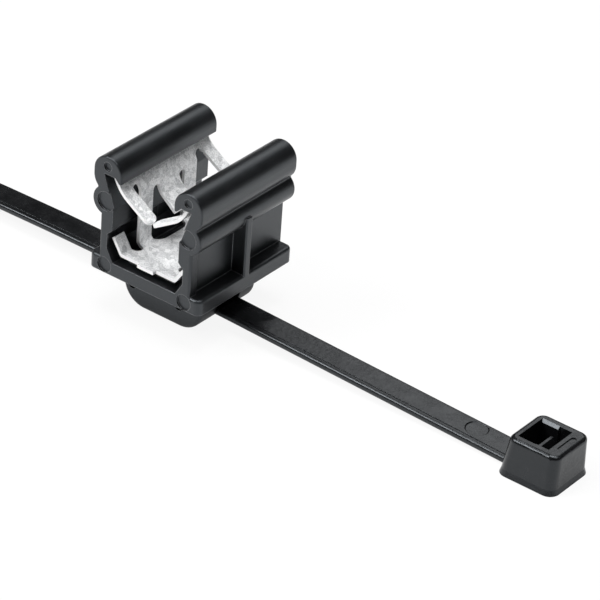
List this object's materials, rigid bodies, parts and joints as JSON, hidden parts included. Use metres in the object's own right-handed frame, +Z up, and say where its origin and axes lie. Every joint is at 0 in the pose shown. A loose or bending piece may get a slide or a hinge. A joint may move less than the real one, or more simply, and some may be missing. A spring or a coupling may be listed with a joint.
{
  "type": "edge clip cable tie",
  "caption": "Cable tie threaded through the saddle of a moulded clip that grips the edge of a sheet panel with a bent metal spring clamp.",
  "frame": {"origin": "centre of the flat underside of the clip's saddle, on the plane that the saddle, the tie's head and the tie's tail all rest on", "axes": "+X along the tie towards its head, +Y along the panel edge that the clip grips, +Z up, out of the clip's channel"},
  "size_m": [0.2003, 0.0204, 0.0244],
  "materials": {
    "clip_nylon": "black moulded nylon, satin",
    "clamp_steel": "bright galvanised sheet with a mottled face and clean sheared edges",
    "tie_nylon": "black moulded nylon, semi-gloss"
  },
  "bodies": {
    "root": {"clip_body": "clip_nylon", "spring_clamp": "clamp_steel", "cable_tie": "tie_nylon"}
  },
  "joints": []
}
